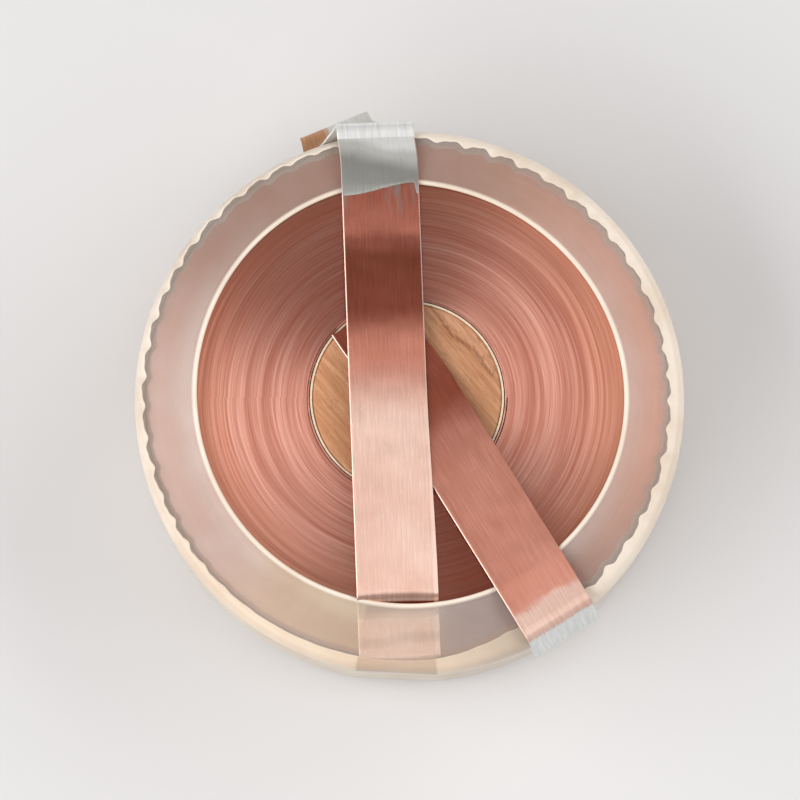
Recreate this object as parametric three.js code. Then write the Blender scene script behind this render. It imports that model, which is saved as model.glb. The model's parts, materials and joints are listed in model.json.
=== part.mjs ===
// Copper foil roll with two lead straps, on a wooden core, in a shrink-film sleeve.
// Millimetres, +Z up along the roll's axis. The origin is the centre of the core's lower end,
// in the plane that the roll stands on. The outer lead runs nearly along +Y.

import * as THREE from "three";

const degree = Math.PI / 180;

// Driving dimensions
const foilWidth = 30;              // width of the wound foil
const leadThickness = 0.4;         // two plies of foil, pressed flat
const leadWidth = foilWidth / 2;   // each lead is the foil folded in half lengthwise
const filmThickness = 0.6;
const coreRadius = 18.5;
const linerThickness = 0.35;
const windingOuterRadius = 51;
const fit = 0.15;                  // radial gap from layer to layer
const layerGap = 0.2;              // gap under, over and between flat layers

// Heights
const windingBottom = filmThickness + layerGap;
const windingTop = windingBottom + foilWidth;
const coreTop = windingTop;
const footHeight = windingTop + layerGap + leadThickness / 2;
const lipHeight = footHeight + leadThickness / 2 + layerGap + filmThickness / 2;
const beadRadius = 0.6;
const beadHeight = lipHeight + 0.55;
const bridgeHeight = beadHeight + beadRadius + layerGap + leadThickness / 2;
const rimHeight = bridgeHeight - 0.6;

// Radii, from the core outwards
const linerOuter = coreRadius + fit / 2 + linerThickness;
const innerLayerRadius = linerOuter + fit + leadThickness / 2;
const windingInnerRadius = innerLayerRadius + leadThickness / 2 + fit;
const turnThickness = 0.3;
const lastTurnOuter = windingOuterRadius + fit + turnThickness;
const springBack = 0.9;            // how far the outer lead stands off the last turn
const outerRiserRadius = lastTurnOuter + springBack + leadThickness / 2;
const filmSlack = 0.85;            // how far the film's side stands off the outer lead
const filmInner = outerRiserRadius + leadThickness / 2 + filmSlack;
const filmMiddle = filmInner + filmThickness / 2;
const filmCorner = 2;              // radius of the film's middle surface round the roll's edge
const cornerRadius = 0.6;          // bend of the outer lead over the roll's edge

// Free edge of the film on the top face: a wavy circle, as shrinking left it
const openingRadius = 41.8;
const openingWaves = [
  { lobes: 1, height: 0.75, phase: 53 * degree },
  { lobes: 2, height: 0.45, phase: -52 * degree },
  { lobes: 3, height: 0.26, phase: -17 * degree },
];
const lowerOpeningRadius = 43;

// Where the two leads lie: sideways offset of the strap's middle line, and its turn about +Z
const outerLead = { x: -3.74, y: 0, turn: 2.16 * degree, width: leadWidth + 0.4 };
const innerLead = { x: 1.96, y: 1.2, turn: 211.55 * degree, width: leadWidth - 0.3 };
const outerFold = -38.3;           // along the outer lead: the fold that it is lifted about
const innerBend = -18.7;           // along the inner lead: where it comes up beside the core
const innerCrease = 18.4;          // along the inner lead: clear of the outer one from here on
const rimBend = 51.7;              // along both leads: start of the bend down over the rim
const creaseGap = 0.3;

const roundSegments = 72;

const copper = { color: 0xc98572, roughness: 0.36, metalness: 1 };
const tin = { color: 0xb9bcbc, roughness: 0.38, metalness: 1 };
const film = { color: 0xe9d8c4, roughness: 0.3, metalness: 0, transparent: true, opacity: 0.45 };
const wood = { color: 0xcfa06e, roughness: 0.7, metalness: 0 };
const paper = { color: 0xeadfc8, roughness: 0.85, metalness: 0 };

function piece(name, geometry, look) {
  const mesh = new THREE.Mesh(geometry, new THREE.MeshStandardMaterial(look));
  mesh.name = name;
  return mesh;
}

// Closed [radius, height] outline turned about +Z
function turned(outline, segments = roundSegments) {
  const points = outline.map(([radius, height]) => new THREE.Vector2(radius, height));
  return new THREE.LatheGeometry(points, segments).rotateX(90 * degree);
}

// Outline of a strip of the given thickness along a line: one side, then the other side back
function stripOutline(line, thickness) {
  const oneSide = [];
  const otherSide = [];
  line.forEach((point, index) => {
    const before = line[Math.max(index - 1, 0)];
    const after = line[Math.min(index + 1, line.length - 1)];
    const along = new THREE.Vector2().subVectors(after, before).normalize();
    const across = new THREE.Vector2(-along.y, along.x).multiplyScalar(thickness / 2);
    oneSide.push(new THREE.Vector2().addVectors(point, across));
    otherSide.unshift(new THREE.Vector2().subVectors(point, across));
  });
  return oneSide.concat(otherSide);
}

// Quarter turn of a bend, as points from one angle to another about a centre
function bend(centreX, centreY, radius, fromAngle, toAngle, steps = 6) {
  const arc = new THREE.EllipseCurve(
    centreX, centreY, radius, radius, fromAngle * degree, toAngle * degree, toAngle < fromAngle);
  return arc.getPoints(steps);
}

// Flat strap whose side view is a strip along a line of (distance along the lead, height)
function strap(line, width, thickness = leadThickness, steps = 1) {
  const side = new THREE.Shape(stripOutline(line, thickness));
  const geometry = new THREE.ExtrudeGeometry(side, { depth: width, steps, bevelEnabled: false });
  const turnUpright = new THREE.Matrix4().makeBasis(
    new THREE.Vector3(0, 1, 0), new THREE.Vector3(0, 0, 1), new THREE.Vector3(1, 0, 0));
  return geometry.translate(0, 0, -width / 2).applyMatrix4(turnUpright);
}

function at(distance, height) {
  return new THREE.Vector2(distance, height);
}

// Part of a ring that stands upright between two heights
function standingArc(middleRadius, thickness, fromAngle, toAngle, bottom, top, steps) {
  const innerRadius = middleRadius - thickness / 2;
  const outerRadius = middleRadius + thickness / 2;
  const shape = new THREE.Shape();
  shape.absarc(0, 0, outerRadius, fromAngle, toAngle, false);
  shape.absarc(0, 0, innerRadius, toAngle, fromAngle, true);
  shape.closePath();
  const geometry = new THREE.ExtrudeGeometry(shape, {
    depth: top - bottom, bevelEnabled: false, curveSegments: steps });
  return geometry.translate(0, 0, bottom);
}

function ring(innerRadius, outerRadius, bottom, top) {
  return turned([
    [innerRadius, bottom],
    [outerRadius, bottom],
    [outerRadius, top],
    [innerRadius, top],
    [innerRadius, bottom],
  ]);
}

function woodCore() {
  const chamfer = 0.4;
  return turned([
    [0, 0],
    [coreRadius - chamfer, 0],
    [coreRadius, chamfer],
    [coreRadius, coreTop - chamfer],
    [coreRadius - chamfer, coreTop],
    [0, coreTop],
  ], 56);
}

function coreLiner() {
  return ring(coreRadius + fit / 2, linerOuter, windingBottom, windingTop);
}

// The roll's axis as seen from a lead: how far to the side and how far along
function rollAxisFrom(lead) {
  return {
    side: -lead.x * Math.cos(lead.turn) - lead.y * Math.sin(lead.turn),
    along: lead.x * Math.sin(lead.turn) - lead.y * Math.cos(lead.turn),
  };
}

// Direction from the roll's axis in which a lead's standing part has its middle
function riserDirection(lead, radius) {
  return lead.turn - 90 * degree - Math.asin(rollAxisFrom(lead).side / radius);
}

// The inner lead's standing part takes up its own stretch of the layer round the liner
const innerRiserAngle = Math.atan2(innerLead.width / 2, innerLayerRadius);
const innerRiserMiddle = riserDirection(innerLead, innerLayerRadius);

function innerLeadRiser() {
  return standingArc(
    innerLayerRadius, leadThickness,
    innerRiserMiddle - innerRiserAngle, innerRiserMiddle + innerRiserAngle,
    windingBottom, windingTop, 12);
}

function foilFirstTurn() {
  const endGap = 1 * degree;
  return standingArc(
    innerLayerRadius, turnThickness,
    innerRiserMiddle + innerRiserAngle + endGap,
    innerRiserMiddle - innerRiserAngle - endGap + 360 * degree,
    windingBottom, windingTop, 48);
}

function foilWinding() {
  return ring(windingInnerRadius, windingOuterRadius, windingBottom, windingTop);
}

function foilLastTurn() {
  return ring(windingOuterRadius + fit, lastTurnOuter, windingBottom, windingTop);
}

function openingShift(angle) {
  return openingWaves.reduce(
    (sum, wave) => sum + wave.height * Math.cos(wave.lobes * angle - wave.phase), 0);
}

// Lets the top lip's free edge wander, and fades that out towards the roll's edge
function waveTopLip(geometry) {
  const place = geometry.attributes.position;
  for (let index = 0; index < place.count; index += 1) {
    const x = place.getX(index);
    const y = place.getY(index);
    const radius = Math.hypot(x, y);
    const share = THREE.MathUtils.mapLinear(radius, filmInner - 2, openingRadius, 0, 1);
    const onTop = place.getZ(index) > windingTop;
    const shift = THREE.MathUtils.clamp(share, 0, 1) * openingShift(Math.atan2(y, x));
    const scale = onTop ? 1 + shift / radius : 1;
    place.setXY(index, x * scale, y * scale);
  }
  return geometry;
}

// One film: lower lip, side wall, upper lip and the bead along its free edge
function filmSleeve() {
  const lowerCentre = filmThickness / 2 + filmCorner;
  const upperCentre = lipHeight - filmCorner;
  const middle = [
    at(lowerOpeningRadius, filmThickness / 2),
    ...bend(filmMiddle - filmCorner, lowerCentre, filmCorner, -90, 0, 4),
    ...bend(filmMiddle - filmCorner, upperCentre, filmCorner, 0, 90, 4),
    at(openingRadius + beadRadius + 0.2, lipHeight + 0.25),
  ];
  const skin = stripOutline(middle, filmThickness);
  const innerSide = skin.slice(0, middle.length);
  const outerSide = skin.slice(middle.length);
  const bead = bend(openingRadius, beadHeight, beadRadius, -40, -320, 7);
  const outline = [...innerSide, ...bead, ...outerSide, innerSide[0]];
  const points = outline.reverse().map((point) => [point.x, point.y]);
  return waveTopLip(turned(points));
}

function outerLeadRiser() {
  const halfAngle = Math.atan2(outerLead.width / 2, outerRiserRadius);
  const middle = riserDirection(outerLead, outerRiserRadius);
  const cornerRoom = filmCorner + filmThickness / 2;
  return standingArc(
    outerRiserRadius, leadThickness, middle - halfAngle, middle + halfAngle,
    windingBottom + cornerRoom, windingTop - layerGap - cornerRadius, 10);
}

// Bend over the roll's round edge, flat run under the film lip, and the step up to the fold
function outerLeadFoot() {
  const stepStart = outerFold - 1.1;
  const flatStart = -outerRiserRadius + cornerRadius;
  const geometry = strap([
    ...bend(flatStart, footHeight - cornerRadius, cornerRadius, 180, 90, 3),
    at(stepStart - 4, footHeight),
    at(stepStart, footHeight),
    at(outerFold - 0.4, footHeight + 0.8),
    at(outerFold - 0.15, bridgeHeight - 0.5),
  ], outerLead.width, leadThickness, 8);
  const axis = rollAxisFrom(outerLead);
  const place = geometry.attributes.position;
  for (let index = 0; index < place.count; index += 1) {
    const side = place.getX(index) - axis.side;
    const curveBack = axis.along + outerRiserRadius - Math.sqrt(outerRiserRadius ** 2 - side ** 2);
    const share = THREE.MathUtils.clamp((stepStart - 4 - place.getY(index)) / 5, 0, 1);
    place.setY(index, place.getY(index) + curveBack * share);
  }
  return geometry;
}

function outerLeadStrap() {
  return strap([
    at(outerFold, bridgeHeight),
    at(openingRadius, bridgeHeight),
    at(rimBend, rimHeight),
  ], outerLead.width);
}

// Height of the inner lead, which climbs straight from beside the core to the film's bead
function rampHeight(distance) {
  const start = footHeight + 0.1;
  return THREE.MathUtils.mapLinear(distance, innerBend, openingRadius, start, bridgeHeight);
}

function innerLeadRoot() {
  const end = innerCrease - creaseGap;
  return strap([at(innerBend, rampHeight(innerBend)), at(end, rampHeight(end))], innerLead.width);
}

function innerLeadStrap() {
  return strap([
    at(innerCrease, rampHeight(innerCrease)),
    at(openingRadius, bridgeHeight),
    at(rimBend, rimHeight),
  ], innerLead.width);
}

// Solder coat that lies on the outer lead's end, from the film's edge to the rim
function solderCoat() {
  const thickness = 0.15;
  const above = leadThickness / 2 + thickness / 2 + 0.03;
  return strap([
    at(openingRadius + 0.6, bridgeHeight + above - 0.04),
    at(rimBend - 0.1, rimHeight + above),
  ], outerLead.width - 0.3, thickness);
}

// Tinned end: a bend over the rim, then a free end that leans out, drifts sideways and twists
function leadTail(width, drop, lean, drift, twist) {
  const radius = 2;
  const start = rimBend + creaseGap;
  const startHeight = rimHeight - 0.05;
  const line = [
    at(start, startHeight),
    ...bend(start + 0.3, startHeight - radius, radius, 90, 8, 5),
  ];
  const last = line[line.length - 1];
  const steps = 6;
  for (let step = 1; step <= steps; step += 1) {
    const share = step / steps;
    line.push(at(last.x + lean * share, last.y - drop * share));
  }
  const geometry = strap(line, width);
  const place = geometry.attributes.position;
  const pivot = last.x;
  for (let index = 0; index < place.count; index += 1) {
    const share = THREE.MathUtils.clamp((last.y - place.getZ(index)) / drop, 0, 1);
    const angle = twist * share;
    const x = place.getX(index);
    const y = place.getY(index) - pivot;
    place.setX(index, x * Math.cos(angle) - y * Math.sin(angle) + drift * share);
    place.setY(index, x * Math.sin(angle) + y * Math.cos(angle) + pivot);
  }
  return geometry;
}

function leadFrame(lead) {
  const group = new THREE.Group();
  group.position.set(lead.x, lead.y, 0);
  group.rotation.z = lead.turn;
  return group;
}

const roll = new THREE.Group();
roll.add(
  piece("wood_core", woodCore(), wood),
  piece("core_liner", coreLiner(), paper),
  piece("foil_first_turn", foilFirstTurn(), copper),
  piece("foil_winding", foilWinding(), copper),
  piece("foil_last_turn", foilLastTurn(), copper),
  piece("film_sleeve", filmSleeve(), film),
  piece("inner_lead_riser", innerLeadRiser(), copper),
  piece("outer_lead_riser", outerLeadRiser(), copper),
);

const outerLeadGroup = leadFrame(outerLead);
outerLeadGroup.add(
  piece("outer_lead_foot", outerLeadFoot(), copper),
  piece("outer_lead_strap", outerLeadStrap(), copper),
  piece("outer_lead_solder", solderCoat(), tin),
  piece("outer_lead_tail", leadTail(outerLead.width, 12, 2.2, -8, 20 * degree), tin),
);

const innerLeadGroup = leadFrame(innerLead);
innerLeadGroup.add(
  piece("inner_lead_root", innerLeadRoot(), copper),
  piece("inner_lead_strap", innerLeadStrap(), copper),
  piece("inner_lead_tail", leadTail(innerLead.width, 9, 2.4, 0, 0), tin),
);

roll.add(outerLeadGroup, innerLeadGroup);

export default roll;
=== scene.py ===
import json
import math

import bpy
import numpy as np
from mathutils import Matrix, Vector, noise


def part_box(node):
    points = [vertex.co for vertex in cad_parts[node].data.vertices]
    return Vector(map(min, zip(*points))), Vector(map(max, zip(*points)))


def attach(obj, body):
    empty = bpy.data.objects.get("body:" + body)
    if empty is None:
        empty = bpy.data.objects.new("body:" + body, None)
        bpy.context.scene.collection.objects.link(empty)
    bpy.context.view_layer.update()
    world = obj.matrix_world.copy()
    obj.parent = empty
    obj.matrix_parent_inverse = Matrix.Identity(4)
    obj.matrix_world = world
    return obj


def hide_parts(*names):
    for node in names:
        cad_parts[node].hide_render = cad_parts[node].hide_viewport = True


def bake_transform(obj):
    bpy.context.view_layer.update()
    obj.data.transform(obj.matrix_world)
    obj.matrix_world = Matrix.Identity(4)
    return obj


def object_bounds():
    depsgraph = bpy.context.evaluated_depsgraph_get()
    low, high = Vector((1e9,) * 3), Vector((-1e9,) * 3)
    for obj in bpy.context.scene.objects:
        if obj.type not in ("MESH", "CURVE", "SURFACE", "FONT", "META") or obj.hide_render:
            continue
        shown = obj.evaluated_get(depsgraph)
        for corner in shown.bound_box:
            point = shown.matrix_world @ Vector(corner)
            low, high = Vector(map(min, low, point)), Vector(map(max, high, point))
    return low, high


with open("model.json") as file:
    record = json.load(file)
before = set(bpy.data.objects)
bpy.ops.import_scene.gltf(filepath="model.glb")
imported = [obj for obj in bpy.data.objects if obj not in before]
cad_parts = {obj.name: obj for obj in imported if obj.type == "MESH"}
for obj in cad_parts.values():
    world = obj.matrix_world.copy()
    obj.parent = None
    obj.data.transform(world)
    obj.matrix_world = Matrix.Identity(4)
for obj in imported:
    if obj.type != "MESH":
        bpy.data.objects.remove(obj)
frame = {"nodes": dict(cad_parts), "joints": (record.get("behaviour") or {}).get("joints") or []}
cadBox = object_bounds()
mm = 0.001
joints = {joint["name"]: joint for joint in frame["joints"]}


def toLinear(hexColour, alpha=1.0):
    channels = [int(hexColour[i:i + 2], 16) / 255 for i in (1, 3, 5)]
    linear = [c / 12.92 if c <= 0.04045 else ((c + 0.055) / 1.055) ** 2.4 for c in channels]
    return (*linear, alpha)


# Adds a node and returns one of its outputs. Inputs are numbers, hex colours or outputs of other
# nodes, in a list from the first socket on or by the socket's name or number. Stops are a ramp's.
def addNode(tree, kind, inputs=(), output=0, stops=(), interpolation="LINEAR", **settings):
    made = tree.nodes.new("ShaderNode" + kind)
    for key, value in settings.items():
        setattr(made, key, value)
    for key, value in inputs.items() if isinstance(inputs, dict) else enumerate(inputs):
        if isinstance(value, bpy.types.NodeSocket):
            tree.links.new(value, made.inputs[key])
        else:
            made.inputs[key].default_value = toLinear(value) if isinstance(value, str) else value
    if stops:
        made.color_ramp.interpolation = interpolation
        elements = made.color_ramp.elements
        while len(elements) < len(stops):
            elements.new(0.5)
        for element, (position, colour) in zip(elements, stops):
            element.position = position
            element.color = toLinear(colour) if isinstance(colour, str) else (colour, colour, colour, 1)
    return made.outputs[output]


mixed = {"output": 2, "data_type": "RGBA"}  # settings of a Mix node for colours
multiplied = {"output": 2, "data_type": "RGBA", "blend_type": "MULTIPLY"}


def linkShader(shader, sockets):
    for key, source in sockets.items():
        shader.id_data.links.new(source, shader.inputs[key])


# Noise drawn out to "across" by "along", in the units of its coordinates
def stretchedNoise(tree, coordinates, across, along, detail):
    scale = (1 / across, 1 / along, 1 / max(across, along))
    placed = addNode(tree, "Mapping", {"Vector": coordinates, "Scale": scale})
    return addNode(tree, "TexNoise", {"Vector": placed, "Scale": 1.0, "Detail": detail, "Roughness": 0.6}, "Fac")


# The three shades of a material, over the middle of a noise's range
def shadeStops(look):
    return [(0.3, look["dark"]), (0.5, look["middle"]), (0.7, look["light"])]


def startMaterial(name, **sockets):
    material = bpy.data.materials.new(name)
    material.use_nodes = True
    tree = material.node_tree
    shader = tree.nodes["Principled BSDF"]
    for key, value in sockets.items():
        shader.inputs[key.replace("_", " ")].default_value = value
    return material, tree, shader


def smoothStep(low, high, value):
    share = min(max((value - low) / (high - low), 0.0), 1.0)
    return share * share * (3 - 2 * share)


def addMesh(name, points, faces, material, uvs=None, smooth=True):
    mesh = bpy.data.meshes.new(name)
    mesh.from_pydata([tuple(p) for p in points], [], faces)
    mesh.update()
    if uvs is not None:
        layer = mesh.uv_layers.new(name="UVMap")
        for loop in mesh.loops:
            layer.data[loop.index].uv = uvs[loop.vertex_index]
    mesh.polygons.foreach_set("use_smooth", [smooth] * len(mesh.polygons))
    mesh.set_sharp_from_angle(angle=math.radians(50))
    made = bpy.data.objects.new(name, mesh)
    bpy.context.scene.collection.objects.link(made)
    made.data.materials.append(material)
    return made


def setColours(piece, colours):
    layer = piece.data.color_attributes.new("tint", "FLOAT_COLOR", "POINT")
    layer.data.foreach_set("color", [c for colour in colours for c in colour])


# A piece that moves with one body and stands for CAD nodes, which are hidden
def rideAs(piece, body, slot, *nodeNames):
    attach(piece, body)
    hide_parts(*nodeNames)


# Sizes read from the frame, in millimetres

def boxOf(nodeName):
    low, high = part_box(nodeName)
    return low / mm, high / mm


coreHigh = boxOf("wood_core")[1]
windingLow, windingHigh = boxOf("foil_winding")
filmHigh = boxOf("film_sleeve")[1]
linerLow, linerHigh = boxOf("core_liner")
coreRadius = coreHigh.x
linerRadius = linerHigh.x
windingRadius = windingHigh.x
filmRadius = filmHigh.x
faceHeight = windingHigh.z
filmTop = filmHigh.z


def leadAxes(jointName):
    joint = joints[jointName]
    across = Vector(joint["axis"]).normalized()
    along = Vector((0, 0, 1)).cross(across)
    place = Vector(joint["pos_m"]) / mm
    return {"across": across, "along": along, "middle": place.dot(across),
            "hinge": place.dot(along), "height": place.z}


outerAxes = leadAxes("outer_lead_lift")
innerAxes = leadAxes("inner_lead_lift")
outerRim = leadAxes("outer_tail_bend")["hinge"]
innerRim = leadAxes("inner_tail_bend")["hinge"]
bridgeHeight = outerAxes["height"]


def placeOn(axes, across, along, height):
    spot = axes["across"] * (axes["middle"] + across) + axes["along"] * along
    return Vector((spot.x, spot.y, height)) * mm


# Materials

# Slit edges of a wound copper foil: fine turns side by side, so light fans out across them.
def makeWindingMaterial(look):
    material, tree, shader = startMaterial(
        "Copper foil edges, slit and wound", Metallic=1.0, Anisotropic=0.92, Anisotropic_Rotation=0.25)
    x, y = addNode(tree, "SeparateXYZ", [addNode(tree, "TexCoord", output="Object")]).node.outputs[:2]
    radius = addNode(tree, "VectorMath", [addNode(tree, "CombineXYZ", [x, y])], "Value", operation="LENGTH")
    angle = addNode(tree, "Math", [y, x], operation="ARCTAN2")
    climb = addNode(tree, "Math", [angle, look["pitch"] * mm / (2 * math.pi)], operation="MULTIPLY")
    turn = addNode(tree, "Math", [radius, climb], operation="ADD")
    drifts = [addNode(tree, "Math", [addNode(tree, "Math", [angle], operation=side), look["drift"] * mm],
                      operation="MULTIPLY") for side in ("COSINE", "SINE")]
    place = addNode(tree, "CombineXYZ", [turn, *drifts])
    fine, coarse = [addNode(tree, "TexNoise", {
        "Vector": place, "Scale": 1 / (width * mm), "Detail": detail, "Roughness": 0.6}, "Fac")
        for width, detail in ((look["fineTurn"], 2.0), (look["coarseTurn"], 3.0))]
    base = addNode(tree, "ValToRGB", [fine], stops=shadeStops(look))
    bands = addNode(tree, "ValToRGB", [coarse], stops=[(0.35, look["band"]), (0.6, "#ffffff")])
    base = addNode(tree, "Mix", {0: 1.0, 6: base, 7: bands}, **multiplied)
    # warm: a painted reflection of the film's cream bead, tinting the outer turns orange
    for name, colour in (("warm", look["warm"]), ("pressed", look["middle"])):
        outward = addNode(tree, "MapRange", [radius, look[name + "From"] * mm, look[name + "To"] * mm,
                                             0.0, look[name + "Share"]])
        base = addNode(tree, "Mix", {0: outward, 6: base, 7: colour}, **mixed)
    # Painted shade: the face is darkened in the given directions, between the two leads where they shade it and
    # towards the upper left where the turns reflect little light.
    for degrees, spread, share in look["paintedShadeSectors"]:
        away = addNode(tree, "Math", [angle, math.radians(degrees)], operation="SUBTRACT")
        near = addNode(tree, "Math", [away], operation="COSINE")
        shade = addNode(tree, "MapRange", [near, math.cos(math.radians(spread)), 1.0, 0.0, share])
        base = addNode(tree, "Mix", {0: shade, 6: base, 7: look["paintedShadeColour"]}, **mixed)
    halfFine = addNode(tree, "Math", [fine, 0.5], operation="MULTIPLY")
    relief = addNode(tree, "Math", [halfFine, coarse], operation="ADD")
    linkShader(shader, {
        "Base Color": base,
        "Roughness": addNode(tree, "MapRange", [coarse, 0.3, 0.7, look["roughLow"], look["roughHigh"]]),
        "Normal": addNode(tree, "Bump", {"Height": relief, "Strength": 0.22, "Distance": 0.03 * mm}),
        "Tangent": addNode(tree, "Tangent", direction_type="RADIAL", axis="Z")})
    return material


# Colour of rolled copper foil: long fine rolling lines with short bright flecks between them
def foilColour(tree, uv, look):
    lines = stretchedNoise(tree, uv, look["lineWidth"], look["lineLength"], 4.0)
    flecks = stretchedNoise(tree, uv, look["fleckWidth"], look["fleckLength"], 1.0)
    patches = addNode(tree, "TexNoise", {"Vector": uv, "Scale": look["patchScale"], "Detail": 2.0}, "Fac")
    base = addNode(tree, "ValToRGB", [lines], stops=shadeStops(look))
    bright = addNode(tree, "ValToRGB", [flecks], stops=[(0.64, 0.0), (0.74, 1.0)])
    share = addNode(tree, "Math", [bright, look["fleckShare"]], operation="MULTIPLY")
    base = addNode(tree, "Mix", {0: share, 6: base, 7: look["fleck"]}, **mixed)
    clouds = addNode(tree, "ValToRGB", [patches], stops=[(0.35, look["patch"]), (0.6, "#ffffff")])
    return addNode(tree, "Mix", {0: 1.0, 6: base, 7: clouds}, **multiplied), lines


# Colour of solder wiped on with a brush: grey, streaked along the strap
def tinColour(tree, uv, look):
    streaks = stretchedNoise(tree, uv, look["streakWidth"], look["streakLength"], 4.0)
    return addNode(tree, "ValToRGB", [streaks], stops=shadeStops(look)), streaks


# Colour changes along a strap, from its stops: on the outer lead partly heat-tarnished copper beside the soldered end,
# brighter foil further off; elsewhere painted shade, shadow and highlight where a strap lies in shade or catches the
# light.
# The stops are (place along the strap in mm, colour); the edges wander a little. A painted highlight line runs along
# the fold and, fainter, the free edge.
def addTarnishAndPaintedLight(tree, uv, base, tarnishAndLight):
    across, along = addNode(tree, "SeparateXYZ", [uv]).node.outputs[:2]
    wobble = addNode(tree, "TexNoise", {"Vector": uv, "Scale": 0.16, "Detail": 3.0}, "Fac")
    wobble = addNode(tree, "Math", [wobble, 0.5], operation="SUBTRACT")
    free = addNode(tree, "MapRange", [along, -32.0, -20.0, 0.0, tarnishAndLight["wobble"]])  # steady beside the fold
    shift = addNode(tree, "Math", [wobble, free], operation="MULTIPLY")
    slope = addNode(tree, "Math", [across, tarnishAndLight["slope"]], operation="MULTIPLY")
    along = addNode(tree, "Math", [along, shift], operation="ADD")
    along = addNode(tree, "Math", [along, slope], operation="ADD")
    low, high = tarnishAndLight["stops"][0][0], tarnishAndLight["stops"][-1][0]
    share = addNode(tree, "MapRange", [along, low, high, 0.0, 1.0])
    shades = addNode(tree, "ValToRGB", [share], interpolation="EASE",
                     stops=[((place - low) / (high - low), colour) for place, colour in tarnishAndLight["stops"]])
    base = addNode(tree, "Mix", {0: 1.0, 6: base, 7: shades}, **multiplied)
    if "smudge" in tarnishAndLight:
        beside = addNode(tree, "MapRange", [along, *tarnishAndLight["smudge"], 0.0, 1.0])
        smoke = addNode(tree, "MapRange", [stretchedNoise(tree, uv, 1.1, 9.0, 2.0), 0.5, 0.64, 0.0, 0.8])
        smoky = addNode(tree, "Math", [beside, smoke], operation="MULTIPLY")
        base = addNode(tree, "Mix", {0: smoky, 6: base, 7: tarnishAndLight["smudgeColour"]}, **mixed)
    # Painted highlight: the fold edge, and more faintly the free edge, are drawn in a pale colour.
    inside = addNode(tree, "MapRange", [across, tarnishAndLight["foldEdge"], tarnishAndLight["foldEdge"] + edgeWidth, 0.0, 1.0])
    if "freeEdge" in tarnishAndLight:
        freeEdgeHighlight = addNode(tree, "MapRange", [across, tarnishAndLight["freeEdge"], tarnishAndLight["freeEdge"] + edgeWidth, 1.0, 0.25])
        inside = addNode(tree, "Math", [inside, freeEdgeHighlight], operation="MINIMUM")
    return addNode(tree, "Mix", {0: inside, 6: tarnishAndLight["edgeHighlightColour"], 7: base}, **mixed)


# Rolled bare copper foil, satin, with rolling lines along it; where "tin" is given its end is
# wiped with solder, up to a ragged front.
def makeFoilMaterial(name, look, tarnishAndLight, tin=None):
    material, tree, shader = startMaterial(name, Metallic=1.0, Anisotropic=0.4)
    uv = addNode(tree, "UVMap", uv_map="UVMap")
    places = addNode(tree, "SeparateXYZ", [uv]).node.outputs
    base, lines = foilColour(tree, uv, look)
    if tin:
        grey = tinColour(tree, uv, tin["look"])[0]
        teeth = addNode(tree, "Math", [stretchedNoise(tree, uv, tin["toothWidth"], 30.0, 2.0), 0.5],
                        operation="SUBTRACT")
        ragged = addNode(tree, "Math", [teeth, tin["toothLength"]], operation="MULTIPLY")
        place = addNode(tree, "Math", [places[tin["axis"]], ragged], operation="ADD")
        share = addNode(tree, "MapRange", [place, tin["front"] - tin["fade"], tin["front"] + tin["fade"], 0.0, 1.0])
        if "bareBelow" in tin:
            upper = addNode(tree, "MapRange", [places[1], tin["bareBelow"] - 1.5, tin["bareBelow"], 1.0, 0.0])
            share = addNode(tree, "Math", [share, upper], operation="MAXIMUM")
        base = addNode(tree, "Mix", {0: share, 6: base, 7: grey}, **mixed)
        raised = addNode(tree, "Math", [share, 0.4], operation="MULTIPLY")
        lines = addNode(tree, "Math", [lines, raised], operation="ADD")
    linkShader(shader, {
        "Base Color": addTarnishAndPaintedLight(tree, uv, base, tarnishAndLight),
        "Metallic": addNode(tree, "MapRange", [places[1], tarnishAndLight["dullFrom"], tarnishAndLight["dullFrom"] + 2.0, 1.0, 0.45]),
        "Roughness": addNode(tree, "MapRange", [lines, 0.3, 0.7, look["roughLow"], look["roughHigh"]]),
        "Normal": addNode(tree, "Bump", {"Height": lines, "Strength": 0.25, "Distance": 0.03 * mm}),
        "Tangent": addNode(tree, "Tangent", direction_type="UV_MAP", uv_map="UVMap")})
    return material


# Solder wiped over the copper with a brush: grey, satin, streaked. Its light and shade along the strap are painted in
# from the stops it is given.
def makeTinMaterial(name, look, tarnishAndLight):
    material, tree, shader = startMaterial(name, Metallic=0.55, Anisotropic=0.4)
    uv = addNode(tree, "UVMap", uv_map="UVMap")
    base, streaks = tinColour(tree, uv, look)
    linkShader(shader, {
        "Base Color": addTarnishAndPaintedLight(tree, uv, base, tarnishAndLight),
        "Roughness": addNode(tree, "MapRange", [streaks, 0.3, 0.7, look["roughHigh"], look["roughLow"]]),
        "Normal": addNode(tree, "Bump", {"Height": streaks, "Strength": 0.4, "Distance": 0.05 * mm}),
        "Tangent": addNode(tree, "Tangent", direction_type="UV_MAP", uv_map="UVMap")})
    return material


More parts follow.
